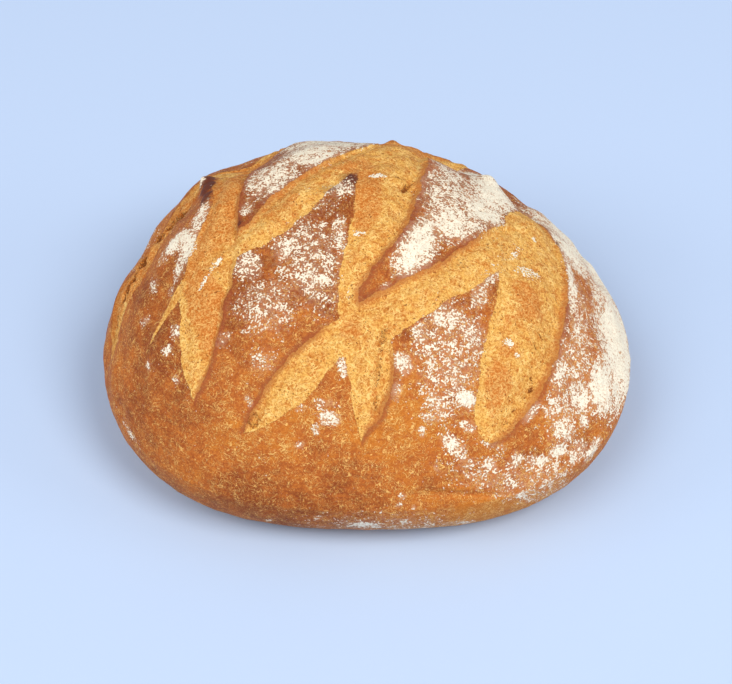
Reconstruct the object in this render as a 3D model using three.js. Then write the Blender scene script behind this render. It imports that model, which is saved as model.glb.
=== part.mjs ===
// A round sourdough loaf: a domed, slightly lopsided crust, opened by three slashes that
// run front to back and three on the slant, standing on its flat base.
// Millimetres, +Z up, the middle of the loaf's footprint at the origin.
import * as THREE from "three";

// The whole loaf.
const halfLength = 132;
const halfDepth = 114;
const loafHeight = 118;
const girthHeight = 34; // the side is widest here
const tuckUnder = 31; // how far the underside draws in between girth and base
const crownLean = new THREE.Vector2(-15, 18); // the top of the dome, from the middle of the girth
const footprintMiddle = new THREE.Vector2(0.8, 2.2); // middle of the footprint, from the middle of the girth
const domeRound = 0.94; // below 1 the dome leaves the top more flatly
const domeFall = 1.45; // above 1 the shoulders fall away sooner
const plumpRight = 0.008; // shares of the radius that make the outline less than a true ellipse
const threeSided = 0.015;
const squareCorners = 0.02;

// The crust is mapped by two lengths measured over it from the top of the dome: across, to the
// right, and back, away from the front. The girth is crownArc away and the base's edge footArc more.
const crownArc = 150;
const footArc = 50;

// Mesh: hexagonal rings over the slashed crown, then even rings down the side.
const crownRings = 34;
const slashedArc = 122;
const sideRings = 7;

// Relief of a slash. On its ear side the crust lifted and the crumb lies deepest; the other side is soft.
const earDepth = 5;
const softDepth = 1.4;
const crumbSwell = 2.2; // how far the crumb rose again in the middle of the slash
const wallWidth = 3.6; // width of the step down from the crust to the crumb
const lipHeight = 1.3;
const lipReach = 9;
const fullDepthHalfWidth = 7; // narrower slashes are shallower
const blendWidth = 1.6; // slashes melt into each other over this where they cross
const slashSteps = 120;
const edgeSnap = 1.2; // points of a wall, and those this near it, are moved onto its top or its foot

// Scorched tip of crust that stands up between two slashes.
const crag = { across: -51, back: 25, radius: 5, rise: 4.5 };

// Slow unevenness of the crust.
const waves = [
  { height: 0.5, across: 37, back: 61, start: 0.4 },
  { height: 0.4, across: -52, back: 33, start: 2.1 },
  { height: 0.3, across: 24, back: -29, start: 4.4 },
];

// A slash: points of across, back and half width over the crust. The ear is on the left of its run
// for ear = 1 and on the right for ear = -1.
const slashes = [
  // front to back
  slash(1, [-30, 84, 0], [-35, 52, 7], [-39, 26, 9], [-39, 4, 6], [-44, -22, 10.5],
    [-55, -48, 8.5], [-61, -62, 5], [-66, -72, 0]),
  slash(1, [30, 88, 0], [26, 52, 10], [18, 8, 10.5], [13, -20, 7.3], [4, -49, 4],
    [10.5, -68, 10], [8.5, -87, 6.8], [3, -104, 0]),
  slash(1, [66, 62, 0], [75, 24, 5], [73, 2, 13.5], [69, -32, 14.5], [64.5, -60, 12.3],
    [60, -82, 8], [59.5, -93, 0]),
  // on the slant
  slash(-1, [22, 104, 0], [-34, 48, 6], [-56, 24, 4], [-74, 2, 5.2], [-99, -17, 4], [-117, -33, 0]),
  slash(-1, [72, 96, 0], [32, 46, 8], [2, 13, 7], [-19, -9.5, 7], [-38, -21, 4.5],
    [-58, -29, 2.5], [-83, -45, 0]),
  slash(-1, [84, 14, 0], [70, 0, 7], [57, -9.5, 6.3], [34, -34, 5.4], [9, -58, 7],
    [-7, -67, 6.2], [-21, -77, 8.3], [-38, -86.5, 5], [-50, -92, 0]),
];

function slash(ear, ...points) {
  const route = new THREE.CatmullRomCurve3(
    points.map((p) => new THREE.Vector3(...p)), false, "catmullrom", 0.5);
  return { ear, stations: route.getPoints(slashSteps) };
}

// Distance from the middle of the girth to its outline, in a direction seen from above.
function girthRadius(angle) {
  const ellipse = (halfLength * halfDepth) /
    Math.hypot(halfDepth * Math.cos(angle), halfLength * Math.sin(angle));
  return ellipse * (1 + plumpRight * Math.cos(angle) - threeSided * Math.sin(3 * angle) -
    squareCorners * Math.cos(4 * angle));
}

// The crust without its slashes: a dome that leans to its crown, over a quarter ellipse that tucks under.
function smoothCrust(across, back) {
  const arc = Math.hypot(across, back);
  const angle = Math.atan2(back, across);
  const down = (Math.min(arc / crownArc, 1) * Math.PI) / 2;
  const under = (THREE.MathUtils.clamp((arc - crownArc) / footArc, 0, 1) * Math.PI) / 2;
  const rise = arc < crownArc ? Math.cos(down) ** domeFall : 0;
  const reach = girthRadius(angle) * Math.sin(down) ** domeRound - tuckUnder * (1 - Math.cos(under));
  return new THREE.Vector3(
    reach * Math.cos(angle) + crownLean.x * rise - footprintMiddle.x,
    reach * Math.sin(angle) + crownLean.y * rise - footprintMiddle.y,
    girthHeight * (1 - Math.sin(under)) + (loafHeight - girthHeight) * rise,
  );
}

// Outward direction of the smooth crust, from two short steps over it.
function crustNormal(across, back) {
  const step = 0.5;
  const toRight = smoothCrust(across + step, back).sub(smoothCrust(across - step, back));
  const toBack = smoothCrust(across, back + step).sub(smoothCrust(across, back - step));
  return toRight.cross(toBack).normalize();
}

// How far a point of the crust lies inside a slash (negative outside), and where it lies between
// its two edges: 1 on the ear's edge, -1 on the soft one.
function placeInSlash({ ear, stations }, across, back) {
  let best = { inside: -Infinity, side: 0, halfWidth: 0 };
  for (let i = 1; i < stations.length; i++) {
    const from = stations[i - 1];
    const runX = stations[i].x - from.x;
    const runY = stations[i].y - from.y;
    const toX = across - from.x;
    const toY = back - from.y;
    const length = Math.hypot(runX, runY);
    const along = THREE.MathUtils.clamp((toX * runX + toY * runY) / length ** 2, 0, 1);
    const halfWidth = Math.max(THREE.MathUtils.lerp(from.z, stations[i].z, along), 0);
    const inside = halfWidth - Math.hypot(toX - along * runX, toY - along * runY);
    if (inside > best.inside) {
      const offset = (ear * (toY * runX - toX * runY)) / length;
      best = { inside, side: offset / Math.max(halfWidth, 1), halfWidth };
    }
  }
  return best;
}

// Height of the open crumb across a slash: a step down at the ear, a swell, a soft far edge.
function crumbHeight({ inside, side, halfWidth }) {
  const fromEar = THREE.MathUtils.clamp((1 - side) / 2, 0, 1);
  const floor = -earDepth * (1 - fromEar) ** 1.5 - softDepth + crumbSwell * Math.sin(Math.PI * fromEar);
  return floor * THREE.MathUtils.smoothstep(halfWidth, 0, fullDepthHalfWidth) *
    THREE.MathUtils.clamp(inside / wallWidth, 0, 1);
}

// Crust that curled up beside a slash, mostly along its ear.
function lipRise({ inside, side, halfWidth }) {
  const away = Math.max(-inside, 0);
  const earShare = THREE.MathUtils.smoothstep(side, -1, 1);
  return lipHeight * earShare * Math.exp(-away / lipReach) *
    THREE.MathUtils.smoothstep(halfWidth, 0, fullDepthHalfWidth);
}

function placesInSlashes(across, back) {
  return slashes.map((cut) => placeInSlash(cut, across, back));
}

function deepestPlace(across, back) {
  return placesInSlashes(across, back).reduce((deep, p) => (p.inside > deep.inside ? p : deep));
}

// The point itself, or the nearest point on the top or the foot of a slash's wall where that is close,
// so that both run clean through the mesh. A slash too narrow for a floor has no foot.
function snapToWall(across, back) {
  const step = 0.1;
  const { inside, halfWidth } = deepestPlace(across, back);
  const level = inside < wallWidth / 2 ? 0 : wallWidth;
  const offWall = inside < -edgeSnap || inside > wallWidth + edgeSnap;
  if (offWall || level > halfWidth - edgeSnap) return [across, back];
  const slopeX = (deepestPlace(across + step, back).inside - inside) / step;
  const slopeY = (deepestPlace(across, back + step).inside - inside) / step;
  const move = (level - inside) / Math.max(slopeX ** 2 + slopeY ** 2, 0.5);
  return [across + move * slopeX, back + move * slopeY];
}

function relief(across, back) {
  const places = placesInSlashes(across, back);
  const deepest = Math.max(...places.map((p) => p.inside));
  const shares = places.map((p) => Math.exp((p.inside - deepest) / blendWidth));
  const total = shares.reduce((sum, share) => sum + share, 0);
  const mix = (height) => places.reduce((sum, p, i) => sum + (shares[i] / total) * height(p), 0);
  const offCrust = THREE.MathUtils.clamp(deepest / wallWidth, 0, 1);
  const tip = Math.hypot(across - crag.across, back - crag.back) / crag.radius;
  const uneven = waves.reduce((sum, w) => sum +
    w.height * Math.sin((2 * Math.PI * across) / w.across + (2 * Math.PI * back) / w.back + w.start), 0);
  const onCrown = 1 - THREE.MathUtils.smoothstep(Math.hypot(across, back), slashedArc, crownArc);
  return onCrown * (mix(crumbHeight) + mix(lipRise) * (1 - offCrust) +
    crag.rise * Math.exp(-(tip ** 2)) + uneven);
}

function crustPoint(across, back) {
  return smoothCrust(across, back).addScaledVector(crustNormal(across, back), relief(across, back));
}

// One ring of points at an arc's distance from the top of the dome.
function ringPoints(arc, count) {
  return Array.from({ length: count }, (_, i) => {
    const angle = (2 * Math.PI * i) / count;
    return crustPoint(...snapToWall(arc * Math.cos(angle), arc * Math.sin(angle)));
  });
}

// Crown: ring k has 6k points, so its triangles are all about one size. Side: rings of one count.
function loafGeometry() {
  const points = [crustPoint(0, 0)];
  const faces = [];
  let inner = { first: 0, count: 1 };
  for (let k = 1; k <= crownRings; k++) {
    const ring = { first: points.length, count: 6 * k };
    points.push(...ringPoints((slashedArc * k) / crownRings, ring.count));
    for (let sector = 0; sector < 6; sector++) {
      for (let i = 0; i < k; i++) {
        const outer = ring.first + ((sector * k + i) % ring.count);
        const nextOuter = ring.first + ((sector * k + i + 1) % ring.count);
        const within = inner.first + ((sector * (k - 1) + i) % inner.count);
        faces.push(within, outer, nextOuter);
        if (i < k - 1) {
          faces.push(within, nextOuter, inner.first + ((sector * (k - 1) + i + 1) % inner.count));
        }
      }
    }
    inner = ring;
  }
  for (let row = 1; row <= sideRings; row++) {
    const ring = { first: points.length, count: inner.count };
    const arc = THREE.MathUtils.lerp(slashedArc, crownArc + footArc, row / sideRings);
    points.push(...ringPoints(arc, ring.count));
    for (let i = 0; i < ring.count; i++) {
      const next = (i + 1) % ring.count;
      faces.push(inner.first + i, ring.first + i, ring.first + next);
      faces.push(inner.first + i, ring.first + next, inner.first + next);
    }
    inner = ring;
  }
  const baseMiddle = points.push(new THREE.Vector3(0, 0, 0)) - 1;
  for (let i = 0; i < inner.count; i++) {
    faces.push(baseMiddle, inner.first + ((i + 1) % inner.count), inner.first + i);
  }
  const geometry = new THREE.BufferGeometry().setFromPoints(points);
  geometry.setIndex(faces);
  geometry.computeVertexNormals();
  return geometry;
}

const crust = new THREE.MeshStandardMaterial({ color: 0xb8743a, roughness: 0.78, metalness: 0 });
const loaf = new THREE.Mesh(loafGeometry(), crust);
loaf.name = "loaf";

const group = new THREE.Group();
group.add(loaf);

export default group;
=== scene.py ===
import math
from types import SimpleNamespace

import bpy
import numpy as np
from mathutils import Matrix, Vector


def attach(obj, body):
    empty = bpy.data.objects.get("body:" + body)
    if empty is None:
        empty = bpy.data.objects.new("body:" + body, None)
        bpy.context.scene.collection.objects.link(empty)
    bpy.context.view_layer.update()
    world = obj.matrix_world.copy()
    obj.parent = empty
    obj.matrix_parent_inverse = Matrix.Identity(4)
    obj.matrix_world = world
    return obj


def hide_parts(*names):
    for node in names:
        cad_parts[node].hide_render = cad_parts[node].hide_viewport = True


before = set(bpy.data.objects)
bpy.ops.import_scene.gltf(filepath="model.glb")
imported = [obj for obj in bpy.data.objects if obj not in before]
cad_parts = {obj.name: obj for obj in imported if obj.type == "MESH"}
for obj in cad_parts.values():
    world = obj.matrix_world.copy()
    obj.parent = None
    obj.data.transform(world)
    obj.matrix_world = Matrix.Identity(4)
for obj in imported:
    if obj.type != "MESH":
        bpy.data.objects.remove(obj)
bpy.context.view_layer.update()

mm = 0.001

# the loaf in millimetres; a place on its crust is given by how far it lies from the top of the dome,
# measured over the crust, to the right (across) and to the back
loafShape = {
    "halfLength": 132, "halfDepth": 114, "height": 118, "girthHeight": 34,
    "tuckUnder": 31,                         # how far the foot draws in below the girth
    "crownLean": (-15, 18),                  # top of the dome, from the middle of the girth
    "footprintMiddle": (0.8, 2.2),
    "domeRound": 0.94, "domeFall": 1.45,     # powers of the dome's reach and of its rise
    "plumpRight": 0.008, "threeSided": 0.015, "squareCorners": 0.02,
    "crownArc": 150, "footArc": 50, "baseArc": 100,   # down to the girth, under the foot, to the middle
    "slashedArc": 122,                       # slashes and crags fade out from here to the girth

    # which side lifted into an ear (1 is left of the slash's course, -1 right), how strongly, and the
    # course's points: across, back and half width
    "slashes": {
        "left": (1, 0.55, [(-30, 84, 0), (-35, 52, 7), (-39, 26, 9), (-38.5, 4, 6.6), (-44, -22, 10.5),
                           (-55, -48, 8.5), (-61, -62, 5), (-66, -72, 0)]),
        "middle": (1, 0.65, [(30, 88, 0), (26, 52, 10), (18, 8, 10.5), (13, -20, 7.3), (4, -49, 4),
                             (10.5, -68, 10), (8.5, -87, 6.8), (3, -104, 0)]),
        "right": (1, 0.5, [(66, 62, 0), (75, 24, 5), (73, 2, 13.5), (69, -32, 14.5), (64.5, -60, 12.3),
                           (60, -82, 8), (59.5, -93, 0)]),
        "farSlant": (-1, 0.35, [(22, 104, 0), (-35, 52, 7.5), (-62, 33, 11), (-83, 12, 16.5),
                                (-101, -11, 10), (-117, -33, 0)]),
        "upperSlant": (-1, 0.4, [(72, 96, 0), (32, 46, 8), (2, 12, 7), (-16, -8.3, 7.6), (-24, -16.3, 5.8),
                                 (-38, -21.5, 4.5), (-58, -29, 2.5), (-83, -45, 0)]),
        "lowerSlant": (-1, 0.6, [(84, 14, 0), (70, 0, 7), (57.3, -9.8, 6.7), (35, -35, 6.5),
                                 (10.5, -59, 8.2), (-7, -67, 6.2), (-21, -77, 8.3), (-38, -86.5, 5),
                                 (-50, -92, 0)]),
    },
    "slashSteps": 80,                        # stretches of each slash's curve
    "ragged": 0.9,                           # how far the torn edge wanders
    "raggedLayers": [(1, 7, 21), (0.45, 7 / 3, 22)],   # layers of noise: height, size and seed
    "raggedHalfWidth": 4, "leastRagged": 0.15,         # narrower slashes wander less, down to this share
    "earDepth": 4.6, "earNarrow": 2.4,       # how deep the crumb lies under the ear, and in how thin a band
    "softDepth": 1.4, "swell": 2.2,          # how deep it lies elsewhere, and how far its middle rises
    "earWall": 2.2, "softWall": 4,           # from the torn edge in to the full depth
    "fullDepthHalfWidth": 7,                 # narrower slashes are shallower
    "blendWidth": 4.5,                       # how softly slashes merge where they cross
    "lipHeight": 1.0, "lipReach": 7, "lipLayers": [(0.5, 14, 41)],
    "tornEdge": 0.35,                        # crust's bumps give way to crumb's this near the torn edge

    # burnt peaks: across, back, reaches, rise
    "crags": [
        (-52.5, 27, 3.6, 4.4, 4.8), (-50.5, 20, 3.4, 6.5, 3.2), (-48.5, 10.5, 2.8, 5.5, 2.2),
        (21, 46, 3, 3, 1.8), (4.5, 2.5, 3, 4.4, 2.2), (-1, -2, 5, 2.6, 1.5), (-32, -12, 2.4, 4.5, 1.4),
        (33, 48, 9, 3, 1.2), (48, 42, 6, 3, 1.4), (57, 35, 4, 4.5, 3.0),
    ],
    "scorchedRise": 3,                       # a peak of this height is scorched all over
    # across, back, reaches, depth
    "dents": [(-38, 42, 14, 20, 9), (-88, 24, 24, 16, 7.5), (45, 50, 9, 14, 9), (74, 48, 12, 20, 9),
              (14, 62, 22, 20, 2.6), (106, 36, 20, 18, 3)],
    # across and back of both ends, half width, depth
    "folds": [(19, 12, 12.5, -22, 1.7, 1.4), (17.8, -56, 11.4, -92, 1.4, 1.2),
              (26, -129, 80, -121, 2.6, 1.5), (24, -124, 66, -118, 2.4, -0.7),
              (19, -38, 5, -49, 1.2, 0.5)],
    "foldEnd": 0.02,                         # a fold's sine starts this share in, so its ends stay open
    # long waves: height, wave lengths across and back, start
    "waves": [(0.5, 37, 61, 0.4), (0.4, -52, 33, 2.1), (0.3, 24, -29, 4.4)],
    "crustLayers": [(0.28, 9, 3), (0.14, 3.6, 5)],     # bumps of the crust, and of the crumb
    "crumbLayers": [(0.6, 6.5, 11), (0.34, 2.8, 12)],
    "roughTear": (-80, 8, 28, 16, 2.6),      # rougher crumb: across, back, reaches, how much rougher
    "bumpyAbove": 6, "smoothBelow": 1,       # heights between which the bumps fade towards the base

    # holes, tears and cracks: across, back, half length, half width, turn in degrees, depth
    "pits": [
        (23.5, 5, 2.6, 0.9, 60, 1.8), (21, 9, 1.6, 0.7, 20, 1.0), (26, 9, 1.8, 0.6, 40, 1.0),
        (16.3, -63, 6, 1.3, 77, 0.8), (13.9, -75, 7, 1.3, 79, 0.75), (11.9, -88, 4.5, 1.0, 75, 0.8),
        (72.4, -59.3, 1.2, 0.7, 75, 1.9), (73.8, -63.6, 1.7, 0.7, 65, 1.9),
        (72.2, -67.4, 1.3, 0.5, 60, 1.5), (68, -75, 1.8, 0.5, 60, 1.2), (66.5, -81, 1.2, 0.6, 40, 1.2),
        (56, -87, 1.0, 0.6, 40, 1.0), (53, -79, 0.9, 0.6, 0, 0.8), (73.5, -41, 2.8, 0.6, 160, 1.2),
        (72, -46.5, 2.4, 0.6, 135, 1.2), (-28, -16, 1.8, 0.6, 35, 0.7), (-24, -11, 1.4, 0.5, 40, 0.6),
        (-3, -44, 1.4, 0.6, 10, 0.8), (5, -48, 2.4, 0.6, 35, 1.0), (-63.5, 13, 5.2, 2.5, 30, 2.6),
        (-69, 11.5, 5.4, 3.5, 25, 3.0), (-75, 9, 5.8, 3.3, 14, 3.0), (-81.5, 6.5, 5.6, 2.9, 35, 2.8),
        (-86.5, 1, 5.4, 2.7, 60, 2.8), (-91, -5.5, 5.2, 2.2, 58, 2.4), (-96, -11, 3.4, 1.1, 45, 1.8),
        (-80, 15, 7.0, 1.7, 40, 2.2), (-103.5, -17, 4.2, 0.8, 50, 1.8), (-108, -22, 3.8, 0.8, 60, 1.6),
        (-70, 20, 6.0, 1.6, 40, 2.0), (-57, -31, 2.2, 0.5, 40, 1.0), (-72, -39, 3.0, 0.4, 35, 0.8),
        (87, 18, 4.5, 0.7, 70, 1.6), (84, 27, 3.0, 0.6, 60, 1.2), (50, 4, 1.2, 0.7, 30, 1.0),
        (104, -44, 5.5, 0.5, 130, 0.8),
    ],
    "blister": (-43, -88, 2.7, 2.4, 20, 2.6),          # an open one, by the same six numbers
    "rimLayers": [(0.5, 2.6, 31), (0.3, 1.3, 32)],
    "pitFloor": 0.3, "pitRim": 1.2,          # shares of the half lengths where the slope ends and begins
    "shadeReach": 2, "shadeFall": 0.75,      # where a hole's painted shade ends, and how fast it fades
    "leastShade": 0.42, "shadeByDepth": 0.36,
    "ringShade": 0.85, "ringWidth": 0.36,    # the blister's painted shade lies on its rim alone

    "crownRings": 136, "sideRows": 41, "baseRows": 5,  # fineness of the mesh
    "baseSpan": 0.9,                         # share of the base that the rows cover, before its middle
    "snapShare": 0.42,                       # points this share of a ring away move onto the torn edge
    "edgeSpan": 12,                          # the material is told how far the torn edge is, up to this
}


def smoothStep(x, low, high):
    # t * t * (3 - 2t), with t going from 0 at low to 1 at high
    t = np.clip((x - low) / (high - low), 0, 1)
    return t * t * (3 - 2 * t)


def lumps(points, size, seed):
    # gradient noise: each corner of a cubic lattice, size apart, holds a random direction, and the
    # value is the corners' slopes blended by a fifth-power ease; about -1 to 1
    tableLength, awayFromZero, toUnit = 256, 1000.5, 1.6
    rng = np.random.default_rng(seed)
    directions = rng.normal(size=(tableLength, 3))
    directions /= np.linalg.norm(directions, axis=1)[:, None]
    order = rng.permutation(tableLength)
    place = points / size + awayFromZero
    cell = np.floor(place).astype(int)
    inCell = place - cell
    ease = inCell ** 3 * (inCell * (inCell * 6 - 15) + 10)
    total = 0
    for corner in np.ndindex(2, 2, 2):
        c = np.array(corner)
        x, y, z = (cell + c).T
        pick = order[(order[(order[x % tableLength] + y) % tableLength] + z) % tableLength]
        slope = (directions[pick] * (inCell - c)).sum(1)
        total = total + slope * np.prod(np.where(c == 1, ease, 1 - ease), axis=1)
    return total * toUnit


def lumpLayers(points, layers):
    # noises of several sizes, each times its height, added up
    return sum(height * lumps(points, size, seed) for height, size, seed in layers)


def bell(across, back, middleAcross, middleBack, reachAcross, reachBack):
    # e to minus the squared distances from the middle, each measured in its own reach
    return np.exp(-((across - middleAcross) / reachAcross) ** 2 - ((back - middleBack) / reachBack) ** 2)


def turnedPlace(across, back, middleAcross, middleBack, halfLength, halfWidth, turn):
    # distances along and across an ellipse that is turned by so many degrees, in its own half lengths
    cosine, sine = math.cos(math.radians(turn)), math.sin(math.radians(turn))
    x, y = across - middleAcross, back - middleBack
    return (x * cosine + y * sine) / halfLength, (y * cosine - x * sine) / halfWidth


def girthRadius(angle):
    # an ellipse's radius, times one plus small first, third and fourth harmonics
    shape = loafShape
    ellipse = shape["halfLength"] * shape["halfDepth"] / np.hypot(shape["halfDepth"] * np.cos(angle),
                                                                  shape["halfLength"] * np.sin(angle))
    return ellipse * (1 + shape["plumpRight"] * np.cos(angle) - shape["threeSided"] * np.sin(3 * angle)
                      - shape["squareCorners"] * np.cos(4 * angle))


def smoothCrust(across, back):
    # above the girth the reach is a power of the arc's sine and the rise a power of its cosine, leaning
    # to the crown; below it a quarter ellipse tucks under; then the base runs flat to its middle
    shape = loafShape
    crownArc, footArc, girthHeight = shape["crownArc"], shape["footArc"], shape["girthHeight"]
    arc = np.hypot(across, back)
    angle = np.arctan2(back, across)
    down = np.clip(arc / crownArc, 0, 1) * math.pi / 2
    under = np.clip((arc - crownArc) / footArc, 0, 1) * math.pi / 2
    inward = np.clip((arc - crownArc - footArc) / shape["baseArc"], 0, 1)
    rise = np.where(arc < crownArc, np.cos(down) ** shape["domeFall"], 0)
    tuck = shape["tuckUnder"] * (1 - np.cos(under))
    reach = (girthRadius(angle) * np.sin(down) ** shape["domeRound"] - tuck) * (1 - inward)
    return np.stack([
        reach * np.cos(angle) + shape["crownLean"][0] * rise - shape["footprintMiddle"][0],
        reach * np.sin(angle) + shape["crownLean"][1] * rise - shape["footprintMiddle"][1],
        girthHeight * (1 - np.sin(under)) + (shape["height"] - girthHeight) * rise,
    ], axis=1)


def crustNormal(across, back):
    # cross product of two short steps over the smooth crust
    step, tiny = 0.5, 1e-9
    toRight = smoothCrust(across + step, back) - smoothCrust(across - step, back)
    toBack = smoothCrust(across, back + step) - smoothCrust(across, back - step)
    normal = np.cross(toRight, toBack)
    return normal / np.maximum(np.linalg.norm(normal, axis=1)[:, None], tiny)


def slashStations(points, steps):
    # uniform Catmull-Rom curve: each stretch is a cubic whose end slopes are half the chord
    # between the neighbours on both sides
    p = np.array(points, float)
    p = np.concatenate([[2 * p[0] - p[1]], p, [2 * p[-1] - p[-2]]])
    last = len(points) - 1
    t = np.linspace(0, last, steps + 1)
    i = np.minimum(t.astype(int), last - 1)
    w = (t - i)[:, None]
    before, start, end, after = p[i], p[i + 1], p[i + 2], p[i + 3]
    slopeIn, slopeOut = (end - before) / 2, (after - start) / 2
    return (start + slopeIn * w + (-3 * start + 3 * end - 2 * slopeIn - slopeOut) * w ** 2
            + (2 * start - 2 * end + slopeIn + slopeOut) * w ** 3)


def placeInSlash(ear, stations, across, back):
    # over all stretches of the centreline, the largest half width less the distance to it; the side
    # runs from 1 on the ear's edge to -1 on the soft one
    best = {"inside": np.full(len(across), -np.inf), "side": np.zeros(len(across)),
            "halfWidth": np.zeros(len(across))}
    for start, end in zip(stations[:-1], stations[1:]):
        run = end - start
        length = math.hypot(run[0], run[1])
        toX, toY = across - start[0], back - start[1]
        share = np.clip((toX * run[0] + toY * run[1]) / length ** 2, 0, 1)
        halfWidth = np.maximum(start[2] + share * run[2], 0)
        inside = halfWidth - np.hypot(toX - share * run[0], toY - share * run[1])
        side = ear * (toY * run[0] - toX * run[1]) / length / np.maximum(halfWidth, 1)
        closer = inside > best["inside"]
        for key, value in (("inside", inside), ("side", side), ("halfWidth", halfWidth)):
            best[key] = np.where(closer, value, best[key])
    return best


allSlashes = loafShape["slashes"].values()
allStations = [(ear, slashStations(points, loafShape["slashSteps"])) for ear, _, points in allSlashes]
earStrengths = np.array([strength for _, strength, _ in allSlashes])[:, None]


def allPlaces(across, back):
    # the place in every slash, with the torn edge moved in and out by noise
    shape = loafShape
    found = [placeInSlash(ear, stations, across, back) for ear, stations in allStations]
    places = {key: np.stack([f[key] for f in found]) for key in found[0]}
    ragged = shape["ragged"] * lumpLayers(smoothCrust(across, back), shape["raggedLayers"])
    wide = np.clip(places["halfWidth"] / shape["raggedHalfWidth"], shape["leastRagged"], 1)
    places["inside"] = places["inside"] + ragged * wide
    return places


def snapToEdge(across, back, pitch):
    # points near a torn edge move down the slope of the inside distance onto it
    reach, step, leastSlope = pitch * loafShape["snapShare"], 0.05, 0.5
    inside = allPlaces(across, back)["inside"].max(0)
    near = np.abs(inside) < reach
    a, b, level = across[near], back[near], inside[near]
    slopeX = (allPlaces(a + step, b)["inside"].max(0) - level) / step
    slopeY = (allPlaces(a, b + step)["inside"].max(0) - level) / step
    move = np.clip(level / np.maximum(slopeX ** 2 + slopeY ** 2, leastSlope), -reach, reach)
    across[near] -= move * slopeX
    back[near] -= move * slopeY
    return across, back


def slashRelief(places, inside, points):
    # every slash's floor, mixed by e to the depth inside it: a power curve that is lowest under the ear,
    # plus a half sine of swelling, faded in over the wall; and the lip outside it, which falls off by e
    # to minus the distance; also the side towards the ear
    shape = loafShape
    share = np.exp((places["inside"] - inside) / shape["blendWidth"])
    share /= share.sum(0)
    fromEar = np.clip((1 - places["side"]) / 2, 0, 1)
    depthShare = smoothStep(places["halfWidth"], 0, shape["fullDepthHalfWidth"])
    floor = (-shape["earDepth"] * earStrengths * (1 - fromEar) ** shape["earNarrow"] - shape["softDepth"]
             + shape["swell"] * np.sin(math.pi * fromEar))
    wall = shape["earWall"] + (shape["softWall"] - shape["earWall"]) * fromEar
    crumb = (share * floor * depthShare * smoothStep(places["inside"], 0, wall)).sum(0)
    away = np.maximum(-places["inside"], 0)
    lip = (share * depthShare * earStrengths * smoothStep(places["side"], -1, 1)
           * np.exp(-away / shape["lipReach"])).sum(0)
    lip = lip * (1 + lumpLayers(points, shape["lipLayers"]))
    side = (share * np.clip(places["side"], -1, earStrengths)).sum(0)
    return crumb, lip, side


def burntPeaks(across, back):
    # the highest of the crags' bells, and how scorched it is
    rise, scorch = np.zeros_like(across), np.zeros_like(across)
    for *spot, height in loafShape["crags"]:
        peak = bell(across, back, *spot)
        rise = np.maximum(rise, peak * height)
        scorch = np.maximum(scorch, peak * min(1, height / loafShape["scorchedRise"]))
    return rise, scorch


def dentsAndFolds(across, back):
    # a dent is a bell; a fold is a bell across the line between its ends, times a half sine along it
    end = loafShape["foldEnd"]
    total = sum(depth * bell(across, back, *spot) for *spot, depth in loafShape["dents"])
    for startAcross, startBack, endAcross, endBack, halfWidth, depth in loafShape["folds"]:
        runAcross, runBack = endAcross - startAcross, endBack - startBack
        toX, toY = across - startAcross, back - startBack
        share = np.clip((toX * runAcross + toY * runBack) / (runAcross ** 2 + runBack ** 2), 0, 1)
        off = np.hypot(toX - share * runAcross, toY - share * runBack)
        lengthwise = np.sin(math.pi * np.clip(share, end, 1 - end))
        total = total + depth * np.exp(-(off / halfWidth) ** 2) * lengthwise
    return total


def holesAndTears(across, back, points):
    # each hole is a turned ellipse with a wandering rim, sloping by a smooth step to its depth; its painted
    # shade fades outwards and is darker in a deep one, and the blister's is a bell round its rim
    shape = loafShape
    wander = lumpLayers(points, shape["rimLayers"])
    sunk, shade = np.zeros_like(across), np.zeros_like(across)
    for *ellipse, depth in shape["pits"] + [shape["blister"]]:
        far = np.hypot(*turnedPlace(across, back, *ellipse)) + wander
        sunk = np.maximum(sunk, (1 - smoothStep(far, shape["pitFloor"], shape["pitRim"])) * depth)
        if (*ellipse, depth) == shape["blister"]:
            dark = shape["ringShade"] * np.exp(-((far - 1) / shape["ringWidth"]) ** 2)
        else:
            dark = (np.clip((shape["shadeReach"] - far) * shape["shadeFall"], 0, 1)
                    * min(1, shape["leastShade"] + shape["shadeByDepth"] * depth))
        shade = np.maximum(shade, dark)
    return sunk, shade


def relief(across, back, points):
    # floors, lips, peaks and long sine waves on the crown; less dents, folds and holes; plus fine bumps,
    # other ones on crust than on crumb; returns heights and what the material reads at each point
    shape = loafShape
    places = allPlaces(across, back)
    inside = places["inside"].max(0)
    crumb, lip, side = slashRelief(places, inside, points)
    openCrumb = smoothStep(inside, -shape["tornEdge"], shape["tornEdge"])
    onCrust = 1 - smoothStep(inside, 0, shape["earWall"])
    onCrown = 1 - smoothStep(np.hypot(across, back), shape["slashedArc"], shape["crownArc"])
    offBase = 1 - smoothStep(points[:, 2], shape["bumpyAbove"], shape["smoothBelow"])
    peakRise, scorch = burntPeaks(across, back)
    sunk, shade = holesAndTears(across, back, points)
    waves = sum(height * np.sin(2 * math.pi * (across / lengthAcross + back / lengthBack) + start)
                for height, lengthAcross, lengthBack, start in shape["waves"])
    *tear, extra = shape["roughTear"]
    crustBumps = lumpLayers(points, shape["crustLayers"])
    crumbBumps = lumpLayers(points, shape["crumbLayers"]) * (1 + extra * bell(across, back, *tear))
    height = onCrown * (crumb + shape["lipHeight"] * lip * onCrust + peakRise + waves)
    height = height - dentsAndFolds(across, back) + offBase * (
        crustBumps * (1 - openCrumb) + crumbBumps * openCrumb * onCrown) - sunk
    return height, {
        "slashed": onCrown,
        "edgeDistance": np.clip(inside, -shape["edgeSpan"], shape["edgeSpan"]),
        "earSide": side,
        "crag": scorch,
        # how dark the painted shade of the holes, tears and cracks is
        "pit": shade,
    }


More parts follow.
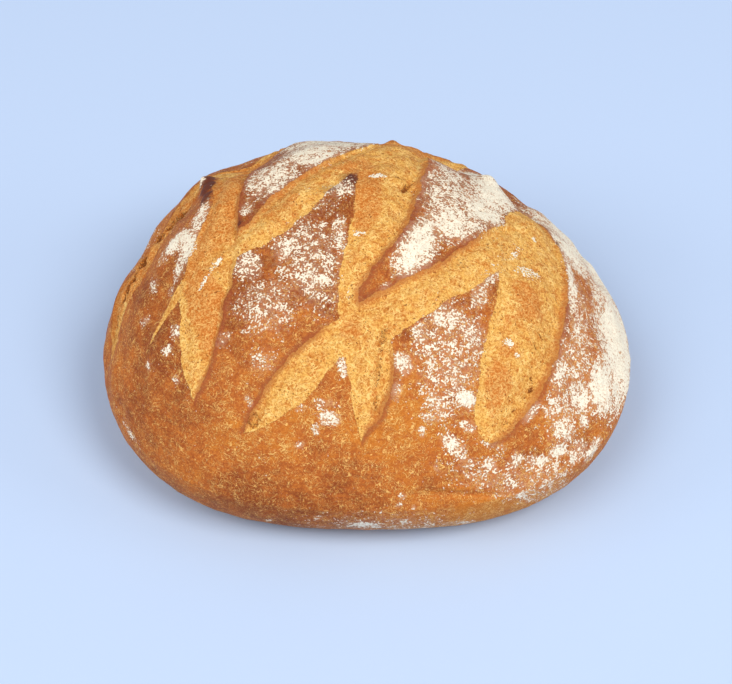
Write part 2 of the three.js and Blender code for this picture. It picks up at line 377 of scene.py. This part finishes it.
def ringedDisc():
    # ring k of the crown has 6k points, so its triangles are all about one size; the side and the base
    # keep the last ring's count; returns the two lengths over the crust, the triangles and the pitch
    shape, sectors = loafShape, 6
    pitch = shape["slashedArc"] / shape["crownRings"]
    arcs, angles, faces = [np.zeros(1)], [np.zeros(1)], []
    innerFirst, innerCount, first = 0, 1, 1
    for k in range(1, shape["crownRings"] + 1):
        count = sectors * k
        arcs.append(np.full(count, pitch * k))
        angles.append(2 * math.pi * np.arange(count) / count)
        sector, i = (g.ravel() for g in np.meshgrid(np.arange(sectors), np.arange(k), indexing="ij"))
        outer = first + (sector * k + i) % count
        nextOuter = first + (sector * k + i + 1) % count
        within = innerFirst + (sector * (k - 1) + i) % innerCount
        nextWithin = innerFirst + (sector * (k - 1) + i + 1) % innerCount
        faces.append(np.stack([within, outer, nextOuter], 1))
        faces.append(np.stack([within, nextOuter, nextWithin], 1)[i < k - 1])
        innerFirst, innerCount, first = first, count, first + count
    count = innerCount
    foot = shape["crownArc"] + shape["footArc"]
    underneath = shape["baseArc"] * np.linspace(0, shape["baseSpan"], shape["baseRows"] + 1)[1:]
    rows = np.concatenate([np.linspace(shape["slashedArc"], foot, shape["sideRows"] + 1)[1:],
                           foot + underneath])
    i = np.arange(count)
    following = (i + 1) % count
    for arc in rows:
        arcs.append(np.full(count, arc))
        angles.append(2 * math.pi * i / count)
        faces.append(np.stack([innerFirst + i, first + i, first + following], 1))
        faces.append(np.stack([innerFirst + i, first + following, innerFirst + following], 1))
        innerFirst, first = first, first + count
    arcs.append(np.full(1, foot + shape["baseArc"]))
    angles.append(np.zeros(1))
    faces.append(np.stack([innerFirst + i, np.full(count, first), innerFirst + following], 1))
    arc, angle = np.concatenate(arcs), np.concatenate(angles)
    return arc * np.cos(angle), arc * np.sin(angle), np.concatenate(faces), pitch


# flour, baking and toasting, in millimetres over the crust as above
loafZones = {
    # flour: across, back, reach across, reach back, turn in degrees, thickness
    "dusting": [
        # upper left
        (-21, 8, 10, 11, 35, 0.72), (-8, 24, 14, 13, 40, 0.76), (-4, 44, 20, 18, 0, 0.8),
        (-29, -5, 3, 4, 0, 0.55), (-54, 26.5, 2.2, 2.4, 0, 0.95), (-55, 33, 3.5, 2.5, 0, 0.8),
        # far left
        (-59, -7, 7, 4.5, 10, 0.84), (-54, -13, 4, 8, -20, 0.86), (-50, 0, 3.4, 7, -20, 0.76),
        (-58, -19, 3, 6, -20, 0.66), (-67, -10, 3, 4, 0, 0.55), (-73, -20, 3, 4, 0, 0.5),
        (-80, -32, 3, 2.5, 0, 0.55), (-64, -27, 2, 2, 0, 0.55), (-43, -25, 2, 2, 0, 0.7),
        (-64, -44, 3, 3, 0, 0.6), (-70, -49, 3, 2, 0, 0.6), (-83, -50, 2, 2.5, 0, 0.55),
        (-71, -61, 2, 2, 0, 0.6),
        # middle
        (-9, -32, 13, 23, 12, 0.52), (-27, -47, 12, 12, 10, 0.5), (-31, -29, 5, 6, 0, 0.64),
        (2, -22, 3, 9, 0, 0.6), (-4, -6, 8, 9, 0, 0.4), (-9, -42, 6, 9, 12, 0.62),
        (-46, -54, 4, 3, 0, 0.5), (-33, -67, 6, 5, 0, 0.48), (-43, -80, 1.5, 3, 0, 0.6),
        (-17, -26, 5, 6, 0, 0.58), (1, -1, 5, 4, 0, 0.6),
        # upper right
        (27, -23, 5.5, 14, -15, 0.9), (38, -8, 10, 8, 35, 0.84), (51, 5, 9, 8, 50, 0.9),
        (58, 25, 9, 15, -12, 0.97), (50, 44, 14, 12, 0, 0.88), (40, 22, 7, 10, 0, 0.66),
        (42, 5, 18, 20, 40, 0.65), (55, 17, 7, 8, 0, 0.92), (33, 4, 5, 10, -10, 0.57),
        (18, -42, 1.5, 3, -35, 0.6),
        # between the lower slant and the right slash
        (54, -22, 3, 9, -30, 0.6), (40, -62, 13, 26, 0, 0.5), (49, -34, 3.5, 8, -15, 0.58),
        (38, -48, 6, 4, 35, 0.74), (48, -52, 5, 8, 0, 0.6), (30, -57, 3, 5, 0, 0.62),
        (24, -70, 4, 4, 0, 0.8), (21, -81, 2, 5, -20, 0.62), (43, -68, 5, 9, 0, 0.6),
        (48, -77, 4, 3.5, 0, 0.92), (38, -83, 6, 6, 0, 0.6), (34, -89, 4, 2, 0, 0.64),
        (31, -96, 2, 2.5, 0, 0.6), (50, -88, 4, 3, 0, 0.6), (45, -98, 6, 4, -30, 0.7),
        (52, -105, 4, 4, 0, 0.58), (62, -103, 4, 4, 0, 0.64), (74, -98, 3.5, 6, 0, 0.62),
        (54, -112, 2.5, 2, 0, 0.6), (38, -111, 1.5, 2, 0, 0.6), (62, -93, 6, 3, 0, 0.45),
        # right of the right slash
        (86, -95, 6, 3, 15, 0.86), (92, -45, 10, 45, 0, 0.53), (75, -112, 32, 10, 0, 0.46),
        (94, -87, 5, 4, 30, 0.9), (92, -76, 7, 6, 0, 0.68), (84, -52, 5, 12, 0, 0.6),
        (84, -68, 5, 7, 0, 0.57), (75, -73, 2, 6, -25, 0.76), (98, -58, 7, 8, 0, 0.8),
        (103, -68, 4, 4, 0, 0.7), (126, -12, 21, 40, 0, 1.0), (110, -48, 9, 13, 15, 0.95),
        (92, -30, 5, 12, 0, 0.6), (88, -8, 3.5, 18, 0, 0.78), (95, 20, 12, 14, 0, 0.9),
        (115, 45, 35, 28, 0, 0.92), (120, -83, 6, 9, 10, 0.84), (88, -121, 5, 4, 15, 0.76),
        (96, -124, 7, 2, -15, 0.5), (95, -105, 22, 14, 0, 0.5), (90, -112, 36, 15, 0, 0.47),
        (108, -86, 9, 9, 0, 0.62),
        # near the base
        (0, -163, 14, 5, 0, 0.72), (-13, -158, 6, 3, 0, 0.5), (27, -156, 9, 3, 0, 0.56),
        (42, -156, 4, 3, 0, 0.56), (66, -152, 10, 3, 10, 0.6), (22, -131, 2, 2.5, 0, 0.6),
        (20, -139, 2, 3, 0, 0.6), (29, -141, 1.5, 4, 0, 0.55), (30, -164, 70, 16, 0, 0.43),
        (-120, -72, 5, 9, 15, 0.5), (-62, -150, 8, 2, 15, 0.4), (-30, -152, 4, 2, 0, 0.45),
        # between the lowest slashes
        (-10, -94, 5, 3, -15, 0.78), (-17, -98, 2, 2.5, 0, 0.62), (-22, -88, 2.5, 2, 0, 0.5),
        (-12, -88, 6, 2, 0, 0.5), (-26, -103, 2.5, 1.5, 0, 0.65), (-1, -74, 2, 4, 0, 0.68),
        # fallen on the crumb
        (67, -17, 6, 3.2, 15, 0.9), (63, -10, 1.5, 4.5, -30, 0.9), (72, 3, 1.6, 1.6, 0, 0.95),
        (61, -49, 2.4, 1.6, 30, 0.98), (64.5, -53, 1.6, 1.2, 0, 0.95), (14, 7, 3, 1.1, 10, 1.1),
        (-46, -29, 7, 0.9, 42, 1.0), (-41, -24, 2.6, 1.4, 60, 1.05), (9, -21, 3, 1.6, 0, 0.98),
        (26, 4, 0.8, 4, -20, 0.95), (4, -48, 1, 3, 0, 0.85),
        # the far side
        (-40, 95, 40, 25, 0, 0.62), (20, 120, 50, 20, 0, 0.62), (0, 150, 90, 25, 0, 0.42),
        (-110, 60, 25, 30, 0, 0.5),
    ],
    "bareCrust": -0.15,                      # thickness between the patches
    "patchEdge": 1.5,                        # above 1 a patch is flatter, with a firmer edge
    "coilRound": 28,                         # length that a turn round the loaf counts for, over two pi

    # how the crust baked, darker above zero and golden below, with one zone of painted light: across, back,
    # reach, strength
    "bakingAndLight": [
        # the fourth zone, low at the front right, is lighter: painted light thrown up from the table
        (-32, -92, 24, -0.9), (-24, -140, 26, 0.6), (28, -105, 22, -0.8), (84, -146, 24, -1.4),
        (56, -116, 14, 0.9), (-88, -65, 26, 0.5), (-60, -112, 20, 0.2), (-3, -118, 14, 0.4),
        (-135, -30, 34, 0.1), (-115, 30, 40, 0.2), (-36, -44, 16, 0.6), (-10, -178, 60, 0.2),
        (-95, -130, 34, 0.6), (100, -150, 40, -0.2), (-20, -20, 26, 1.0), (55, -45, 26, 0.1),
        (45, 15, 26, 0.6), (-10, 40, 30, 0.6), (-70, -15, 20, 0.3), (60, 90, 60, 0.2),
    ],

    # browned spots on the crumb: across, back, reach across, reach back, strength
    "toasting": [
        (-34, 36, 9, 18, 0.8), (-40, 2, 6, 16, 0.8), (-50, -38, 6, 18, 0.9), (-22, 50, 26, 7, 0.8),
        (9.5, 0, 5, 16, 1.1), (20.5, -6, 4, 13, -0.6), (28, 46, 18, 8, 1.2), (6, -34, 3, 6, 0.5),
        (66, -30, 7, 8, 0.8), (74, -12, 7, 8, -0.6), (75, 8, 9, 15, -0.6), (60, -50, 4, 8, 0.45),
        (59, -68, 4.5, 8, 1.0), (60, -82, 3, 2.5, 0.3), (-43, -88, 2.4, 2.2, -1.2), (5, -61, 4, 5, 0.6),
        (-16, -8, 5, 12, 0.5), (50, -15, 8, 8, -0.6), (38, -30, 8, 8, -0.7), (22, -46, 7, 7, -0.4),
        (-80, 5, 36, 20, 1.4), (-4, 10, 8, 8, 0.4), (11, -88, 3, 12, 0.3),
    ],
    "spotEdge": 3,                           # above 2 a spot is flatter, with a firmer edge
    "towardsEar": 0.12,                      # extra browning of what faces the ear
    "mostToasted": 1.2,
}


def flourThickness(across, back):
    # the thickest patch at each point; a patch is its thickness times e to minus half a power of the
    # squared distance in its turned ellipse
    thickness = np.full(len(across), loafZones["bareCrust"])
    for *ellipse, turn, most in loafZones["dusting"]:
        along, aside = turnedPlace(across, back, *ellipse, turn)
        far = along ** 2 + aside ** 2
        thickness = np.maximum(thickness, most * np.exp(-0.5 * far ** loafZones["patchEdge"]))
    return thickness


def coilPlace(across, back):
    # three lengths that run round the loaf slowly and down it at full rate, so that noise read from
    # them stretches along the rings of a proving basket
    arc, angle = np.hypot(across, back), np.arctan2(back, across)
    turn = loafZones["coilRound"]
    return np.stack([turn * np.cos(angle), turn * np.sin(angle), arc], axis=1)


def bakednessAndLight(across, back):
    # e to minus half the squared distance in each zone's reach, times its strength, added up
    total = np.zeros(len(across))
    for middleAcross, middleBack, reach, strength in loafZones["bakingAndLight"]:
        squared = (across - middleAcross) ** 2 + (back - middleBack) ** 2
        total += strength * np.exp(-0.5 * squared / reach ** 2)
    return total


def toastedness(across, back, earSide):
    # e to minus half a power of the distance in each spot's reaches, times its strength, added up, and
    # more on what faces the ear
    total = np.zeros(len(across))
    for middleAcross, middleBack, reachAcross, reachBack, strength in loafZones["toasting"]:
        far = np.hypot((across - middleAcross) / reachAcross, (back - middleBack) / reachBack)
        total += strength * np.exp(-0.5 * far ** loafZones["spotEdge"])
    return np.clip(total + loafZones["towardsEar"] * earSide, 0, loafZones["mostToasted"])


def putAttribute(mesh, name, values):
    kind, field = ("FLOAT_VECTOR", "vector") if values.ndim == 2 else ("FLOAT", "value")
    attribute = mesh.attributes.new(name, kind, "POINT")
    attribute.data.foreach_set(field, values.astype(np.float32).ravel())


def makeLoaf():
    across, back, faces, pitch = ringedDisc()
    onCrown = np.hypot(across, back) < loafShape["slashedArc"] - pitch / 2
    across[onCrown], back[onCrown] = snapToEdge(across[onCrown], back[onCrown], pitch)
    points = smoothCrust(across, back)
    height, masks = relief(across, back, points)
    points = points + crustNormal(across, back) * height[:, None]
    points[:, 2] = np.maximum(points[:, 2], 0)
    print("loaf: dome, slashes and relief worked out")
    mesh = bpy.data.meshes.new("loafCrust")
    mesh.from_pydata((points * mm).tolist(), [], faces.tolist())
    mesh.update()
    mesh.shade_smooth()
    masks["flour"] = flourThickness(across, back)
    masks["toast"] = toastedness(across, back, masks["earSide"])
    # the baking zones, one of which is painted light near the base
    masks["bake"] = bakednessAndLight(across, back)
    masks["coil"] = coilPlace(across, back) * mm
    for name, values in masks.items():
        putAttribute(mesh, name, values)
    loaf = bpy.data.objects.new("loafCrust", mesh)
    bpy.context.scene.collection.objects.link(loaf)
    print("loaf:", len(points), "points,", len(faces), "triangles")
    return loaf


class Wire:
    # a socket of a material's nodes, with arithmetic
    def __init__(self, tree, socket=None):
        self.tree, self.socket = tree, socket

    def make(self, kind, settings=None, values=None, output=0):
        node = self.tree.nodes.new(kind)
        for name, value in (settings or {}).items():
            setattr(node, name, value)
        for key, value in (values or {}).items():
            if isinstance(value, Wire):
                self.tree.links.new(value.socket, node.inputs[key])
            else:
                node.inputs[key].default_value = value
        return Wire(self.tree, node.outputs[output] if node.outputs else None)

    def maths(self, operation, first, second=0):
        return self.make("ShaderNodeMath", {"operation": operation}, {0: first, 1: second})

    def __add__(self, other):
        return self.maths("ADD", self, other)

    def __radd__(self, other):
        return self.maths("ADD", other, self)

    def __sub__(self, other):
        return self.maths("SUBTRACT", self, other)

    def __rsub__(self, other):
        return self.maths("SUBTRACT", other, self)

    def __mul__(self, other):
        return self.maths("MULTIPLY", self, other)

    def __rmul__(self, other):
        return self.maths("MULTIPLY", other, self)

    def ramp(self, low, high):
        return self.make("ShaderNodeMapRange", {"interpolation_type": "SMOOTHSTEP"},
                         {"Value": self, "From Min": low, "From Max": high})

    def between(self, first, second):
        # this wire's number picks a colour between two; 6 and 7 are the Mix node's colour sockets
        return self.make("ShaderNodeMix", {"data_type": "RGBA", "clamp_factor": True},
                         {0: self, 6: first, 7: second}, 2)

    def attribute(self, name, output="Fac"):
        return self.make("ShaderNodeAttribute", {"attribute_name": name}, output=output)

    def noise(self, coordinates, size, detail=2, rough=0.5, twist=0):
        return self.make("ShaderNodeTexNoise", values={"Vector": coordinates, "Scale": 1 / (size * mm),
                                                       "Detail": detail, "Roughness": rough,
                                                       "Distortion": twist})

    def threads(self, coordinates, sizes, thin):
        # thin lines where noise crosses its middle value, kept only where a second noise is high
        middle, hairline, twist, gapSize = 0.5, 0.004, 1.2, 1.5
        total = 0
        for size in sizes:
            off = self.maths("ABSOLUTE", self.noise(coordinates, size, 1, twist=twist) - middle)
            line = 1 - off.ramp(hairline, thin / size)
            total = total + line * self.noise(coordinates, size * gapSize, 0).ramp(0.46, 0.56)
        return total


def srgb(red, green, blue):
    channels = [c / 255 for c in (red, green, blue)]
    return tuple(c / 12.92 if c <= 0.04045 else ((c + 0.055) / 1.055) ** 2.4 for c in channels) + (1,)


crustLook = {
    "colours": {
        "deepCrust": srgb(136, 65, 30), "crust": srgb(181, 97, 40), "goldenCrust": srgb(214, 142, 66),
        "honeyCrust": srgb(200, 118, 40), "marks": srgb(240, 188, 110), "speck": srgb(236, 192, 144),
        "lip": srgb(154, 78, 46), "wall": srgb(184, 108, 54), "scorched": srgb(92, 48, 40),
        "crumbPale": srgb(231, 175, 88), "crumbGold": srgb(205, 130, 54), "crumbToast": srgb(202, 114, 44),
        # the pore and hollow colours are painted shade in the crumb's pores and sunken lines
        "crumbBrown": srgb(174, 96, 34), "crumbLight": srgb(251, 208, 128), "poreShade": srgb(124, 62, 16),
        # the torn colour is painted shade in holes and cracks, partly the torn crumb's own darker brown
        "torn": srgb(118, 58, 18), "hollowShade": srgb(186, 110, 44),
        "flour": srgb(250, 240, 218), "flourThin": srgb(230, 196, 168), "flourShade": srgb(196, 152, 118),
    },
    # noises: size in millimetres, detail, roughness
    "noises": {
        "broad": (28, 2), "patchy": (6.5, 3, 0.55), "grit": (1.0, 2, 0.9), "dots": (0.8, 0),
        "fluff": (2.4, 3, 0.65), "streaks": (2.6, 3, 0.6), "pores": (1.05, 0), "poreFields": (7, 1),
        "cloud": (5, 2), "coilLines": (1.9, 2, 0.6), "flecks": (1.3, 1, 0.6),
    },
    # fine lines: their sizes in millimetres, and how thin they are
    "threads": {
        "marks": ((2.0, 3.0, 4.6), 0.065), "web": ((2.6, 4.1, 6.0), 0.13), "hollows": ((3.3, 5.1), 0.1),
    },
    # where each layer starts and where it is full
    "steps": {
        "openCrumb": (-0.2, 0.25), "lightGrains": (0.5, 0.6), "darkGrains": (0.5, 0.4),
        "crust": (0.32, 0.52), "honeyCrust": (0.46, 0.66), "specks": (0.78, 0.84),
        "lip": (3.6, 1.8), "lipSide": (0.1, 0.6), "wall": (3.4, 1.6), "wallSide": (0.05, 0.5),
        "pores": (0.28, 0.22), "poreFields": (0.42, 0.52), "toasted": (0.24, 0.56),
        "crumbPale": (0.41, 0.57), "softSide": (0.85, 1.45), "scorched": (0.24, 0.5), "torn": (0.66, 0.9),
        "flourFilm": (0.2, 0.85), "floured": (-0.006, 0.014), "thickFlour": (-0.01, 0.06),
        "flourShade": (0.5, 0.38), "nearEar": (2.4, 0.6), "nearEarSide": (0, 0.6),
    },
    # how strongly each layer is laid on; the second of two is what baking, toasting or crumb changes
    "shares": {
        "goldenGrains": 0.35, "deepGrains": (0.36, 0.15), "marks": (0.85, 0.45), "specks": 0.4, "lip": 0.65,
        "softSide": 0.6, "toasted": 0.85, "lightGrains": 0.4, "brownGrains": 0.55, "hollows": (0.5, 0.3),
        "web": (0.85, 0.4), "pores": 0.8, "wall": 0.7, "scorched": (0.9, 0.5), "torn": 0.9,
        "flourFilm": 0.38, "flourShade": 0.4,
    },
    # flour shows where the scatter and the weighted flour pass the level; ears and crumb take some off
    "flourWeight": 0.215, "flourLevel": 0.558, "earSheds": 0.05, "crumbSheds": 0.06,
    # what each layer adds to the bump's height
    "heights": {
        "patchy": 0.3, "grit": 0.6, "marks": 0.12, "crumbGrit": 0.5, "fluff": 1.0, "web": 0.1,
        "hollows": -0.06, "pores": -0.06, "torn": -0.1, "flour": 0.35,
    },
    "bumpStrength": 0.9, "bumpDepth": 0.8,
    "roughness": 0.56, "crumbRougher": 0.2, "flourRougher": 0.3, "specular": 0.1,
}


def surfaceReadings(w):
    # what several layers read: the mesh's attributes, shared noises, and where the crumb is open, with
    # its edge moved by grit
    noises, steps = crustLook["noises"], crustLook["steps"]
    names = ("slashed", "edgeDistance", "earSide", "crag", "pit", "toast", "bake", "flour")
    s = SimpleNamespace(**{name: w.attribute(name) for name in names})
    s.at = w.make("ShaderNodeTexCoord", output="Object")
    s.coil = w.attribute("coil", "Vector")
    s.patchy = w.noise(s.at, *noises["patchy"])
    s.grit = w.noise(s.at, *noises["grit"])
    s.dots = w.noise(s.at, *noises["dots"])
    s.fluff = w.noise(s.at, *noises["fluff"])
    s.openCrumb = (s.edgeDistance + s.grit * 1.2 - 0.6).ramp(*steps["openCrumb"]) * s.slashed
    return s


def crustColour(w, s):
    # brown, deeper and more golden by zones and along the coils, sandy, threaded with fine pale stretch
    # marks, and darker on the lips
    colours, noises, steps, shares = (crustLook[key] for key in ("colours", "noises", "steps", "shares"))
    broad = w.noise(s.at, *noises["broad"])
    streaky = w.noise(s.coil, *noises["streaks"])
    s.marks = w.threads(s.at, *crustLook["threads"]["marks"])
    # the zones darken or gild the crust; the one low at the front right is painted light
    baked = broad * 0.42 + s.patchy * 0.3 + streaky * 0.28 - s.bake * 0.13
    colour = baked.ramp(*steps["crust"]).between(colours["deepCrust"], colours["crust"])
    colour = baked.ramp(*steps["honeyCrust"]).between(colour, colours["honeyCrust"])
    golden = s.grit.ramp(*steps["lightGrains"]) * shares["goldenGrains"]
    colour = golden.between(colour, colours["goldenCrust"])
    plain, whenBaked = shares["deepGrains"]
    deep = s.grit.ramp(*steps["darkGrains"]) * (plain + s.bake * whenBaked)
    colour = deep.between(colour, colours["deepCrust"])
    plain, whenBaked = shares["marks"]
    colour = (s.marks * (plain - s.bake * whenBaked)).between(colour, colours["marks"])
    colour = (s.dots.ramp(*steps["specks"]) * shares["specks"]).between(colour, colours["speck"])
    lip = (0 - s.edgeDistance + s.grit * 2).ramp(*steps["lip"]) * s.earSide.ramp(*steps["lipSide"])
    return (lip * shares["lip"]).between(colour, colours["lip"])


def crumbColour(w, s):
    # golden, palest on the soft side, toasted where it swelled, with grain, painted shade in its hollows, a
    # pale web, painted shade in its pores, and a browner band under the ear that is partly painted shade
    colours, noises, steps, shares = (crustLook[key] for key in ("colours", "noises", "steps", "shares"))
    s.web = w.threads(s.at, *crustLook["threads"]["web"])
    s.hollows = w.threads(s.at, *crustLook["threads"]["hollows"])
    s.pores = (w.noise(s.at, *noises["pores"]).ramp(*steps["pores"])
               * w.noise(s.at, *noises["poreFields"]).ramp(*steps["poreFields"]))
    toasted = (s.toast + s.patchy * 1.9 + s.fluff * 1.3 - 1.68).ramp(*steps["toasted"])
    pale = (s.fluff * 0.6 + s.patchy * 0.4).ramp(*steps["crumbPale"])
    colour = pale.between(colours["crumbGold"], colours["crumbPale"])
    softSide = (0 - s.earSide + s.fluff).ramp(*steps["softSide"])
    colour = (softSide * shares["softSide"]).between(colour, colours["crumbPale"])
    colour = (toasted * shares["toasted"]).between(colour, colours["crumbToast"])
    light = s.grit.ramp(*steps["lightGrains"]) * shares["lightGrains"]
    brown = s.grit.ramp(*steps["darkGrains"]) * shares["brownGrains"]
    colour = brown.between(light.between(colour, colours["crumbLight"]), colours["crumbBrown"])
    # painted shade in the sunken hollow lines, fainter where toasted
    plain, whenToasted = shares["hollows"]
    colour = (s.hollows * (plain - toasted * whenToasted)).between(colour, colours["hollowShade"])
    plain, whenToasted = shares["web"]
    colour = (s.web * (plain - toasted * whenToasted)).between(colour, colours["crumbLight"])
    # painted shade in the pores
    colour = (s.pores * shares["pores"]).between(colour, colours["poreShade"])
    # a browner crumb wall under the ear, with painted shade of the undercut laid on it
    underEar = (s.edgeDistance + s.grit * 2).ramp(*steps["wall"]) * s.earSide.ramp(*steps["wallSide"])
    return (underEar * shares["wall"]).between(colour, colours["wall"])


def flouredColour(w, s, colour):
    # flour lies where its thickness and a scatter of noises together pass a level, so thick patches break
    # up into grains and coil streaks; a thin film tints the crust round them, and an ear's edge keeps less
    colours, noises, steps, shares = (crustLook[key] for key in ("colours", "noises", "steps", "shares"))
    cloud = w.noise(s.at, *noises["cloud"])
    coilLines = w.noise(s.coil, *noises["coilLines"])
    flecks = w.noise(s.at, *noises["flecks"])
    scatter = cloud * 0.18 + s.fluff * 0.18 + coilLines * 0.12 + flecks * 0.2 + s.dots * 0.2
    nearEar = (0 - s.edgeDistance).ramp(*steps["nearEar"]) * s.earSide.ramp(*steps["nearEarSide"])
    above = (scatter + s.flour * crustLook["flourWeight"] - crustLook["flourLevel"]
             - nearEar * crustLook["earSheds"] - s.openCrumb * crustLook["crumbSheds"])
    s.floured = above.ramp(*steps["floured"])
    film = (s.flour + s.fluff - 0.5).ramp(*steps["flourFilm"]) * (1 - s.openCrumb) * shares["flourFilm"]
    thick = (above + s.openCrumb * 0.07).ramp(*steps["thickFlour"])
    powder = thick.between(colours["flourThin"], colours["flour"])
    shaded = s.grit.ramp(*steps["flourShade"]) * shares["flourShade"]
    powder = shaded.between(powder, colours["flourShade"])
    return s.floured.between(film.between(colour, colours["flourThin"]), powder)


def surfaceHeight(s):
    # fine relief for the bump: sandy crust, fluffier crumb with a raised web, and flour on top of both
    h = crustLook["heights"]
    crust = s.patchy * h["patchy"] + s.grit * h["grit"] + s.marks * h["marks"]
    crumb = (s.grit * h["crumbGrit"] + s.fluff * h["fluff"] + s.web * h["web"] + s.hollows * h["hollows"]
             + s.pores * h["pores"] + s.torn * h["torn"])
    return crust * (1 - s.openCrumb) + s.openCrumb * crumb + s.floured * h["flour"]


def crustMaterial():
    look, colours, steps = crustLook, crustLook["colours"], crustLook["steps"]
    material = bpy.data.materials.new("bakedCrust")
    material.use_nodes = True
    material.node_tree.nodes.clear()
    w = Wire(material.node_tree)
    s = surfaceReadings(w)
    colour = s.openCrumb.between(crustColour(w, s), crumbColour(w, s))
    plain, whenOpen = look["shares"]["scorched"]
    scorched = (s.crag + s.grit + s.fluff * 0.8 - 0.9).ramp(*steps["scorched"])
    colour = (scorched * (plain - s.openCrumb * whenOpen)).between(colour, colours["scorched"])
    colour = flouredColour(w, s, colour)
    # painted shade in the holes, tears and cracks, in a dark brown that is partly the torn crumb's own
    s.torn = (s.pit + s.grit * 2 - 1).ramp(*steps["torn"])
    colour = (s.torn * look["shares"]["torn"]).between(colour, colours["torn"])
    rough = look["roughness"] + s.openCrumb * look["crumbRougher"] + s.floured * look["flourRougher"]
    bump = w.make("ShaderNodeBump", values={"Strength": look["bumpStrength"],
                                            "Distance": look["bumpDepth"] * mm,
                                            "Height": surfaceHeight(s)})
    surface = w.make("ShaderNodeBsdfPrincipled", values={"Base Color": colour, "Roughness": rough,
                                                         "Normal": bump,
                                                         "Specular IOR Level": look["specular"]})
    w.make("ShaderNodeOutputMaterial", values={"Surface": surface})
    print("bakedCrust:", len(material.node_tree.nodes), "nodes")
    return material


# places and sizes in metres, powers in watts
studio = {
    "tableColour": srgb(188, 207, 238), "tableSize": 8.0, "tableRoughness": 0.9,
    "keyPlace": (1.74, -1.74, 3.15), "keySize": 2.0, "keyPower": 90,
    "fillPlace": (-1.85, -1.75, 2.85), "fillSize": 2.6, "fillPower": 60,
    "sidePlace": (3.0, -0.7, 1.3), "sideSize": 1.6, "sidePower": 20,
    "lampColour": (1.0, 0.965, 0.89), "lampsLookAt": (0, 0, 0.05),
    "skyColour": (0.88, 0.98, 1.12, 1), "skyStrength": 0.4,
}

cameraView = {"distance": 0.9, "elevation": 45, "lens": 90, "sensorWidth": 36,
              "target": (-0.0004, -0.0093, 0.040)}


def makeTable():
    half = studio["tableSize"] / 2
    mesh = bpy.data.meshes.new("table")
    mesh.from_pydata([(-half, -half, 0), (half, -half, 0), (half, half, 0), (-half, half, 0)], [],
                     [(0, 1, 2, 3)])
    table = bpy.data.objects.new("table", mesh)
    bpy.context.scene.collection.objects.link(table)
    material = bpy.data.materials.new("paleTable")
    material.use_nodes = True
    surface = material.node_tree.nodes["Principled BSDF"]
    surface.inputs["Base Color"].default_value = studio["tableColour"]
    surface.inputs["Roughness"].default_value = studio["tableRoughness"]
    mesh.materials.append(material)


def aimed(name, data, place, target):
    thing = bpy.data.objects.new(name, data)
    bpy.context.scene.collection.objects.link(thing)
    thing.location = place
    thing.rotation_euler = (Vector(target) - Vector(place)).to_track_quat("-Z", "Y").to_euler()
    return thing


def softbox(name, place, size, power):
    light = bpy.data.lights.new(name, "AREA")
    light.shape, light.size, light.energy, light.color = "DISK", size, power, studio["lampColour"]
    aimed(name, light, place, studio["lampsLookAt"])


def lightStudio():
    world = bpy.data.worlds.new("softSky")
    bpy.context.scene.world = world
    world.use_nodes = True
    sky = world.node_tree.nodes["Background"]
    sky.inputs["Color"].default_value = studio["skyColour"]
    sky.inputs["Strength"].default_value = studio["skyStrength"]
    softbox("keyLight", studio["keyPlace"], studio["keySize"], studio["keyPower"])
    softbox("fillLight", studio["fillPlace"], studio["fillSize"], studio["fillPower"])
    x, y, z = studio["sidePlace"]
    softbox("rightLight", (x, y, z), studio["sideSize"], studio["sidePower"])
    softbox("leftLight", (-x, y, z), studio["sideSize"], studio["sidePower"])
    bpy.context.scene.view_settings.view_transform = "Standard"


def placeCamera():
    # on a circle round the target, in the plane that faces the loaf's front
    tilt = math.radians(cameraView["elevation"])
    target = Vector(cameraView["target"])
    place = target + Vector((0, -math.cos(tilt), math.sin(tilt))) * cameraView["distance"]
    lens = bpy.data.cameras.new("camera")
    lens.sensor_width, lens.lens = cameraView["sensorWidth"], cameraView["lens"]
    bpy.context.scene.camera = aimed("camera", lens, place, target)


loaf = makeLoaf()
loaf.data.materials.append(crustMaterial())
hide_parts("loaf")
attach(loaf, "root")
makeTable()
lightStudio()
placeCamera()
print("table, lights and camera are in place")
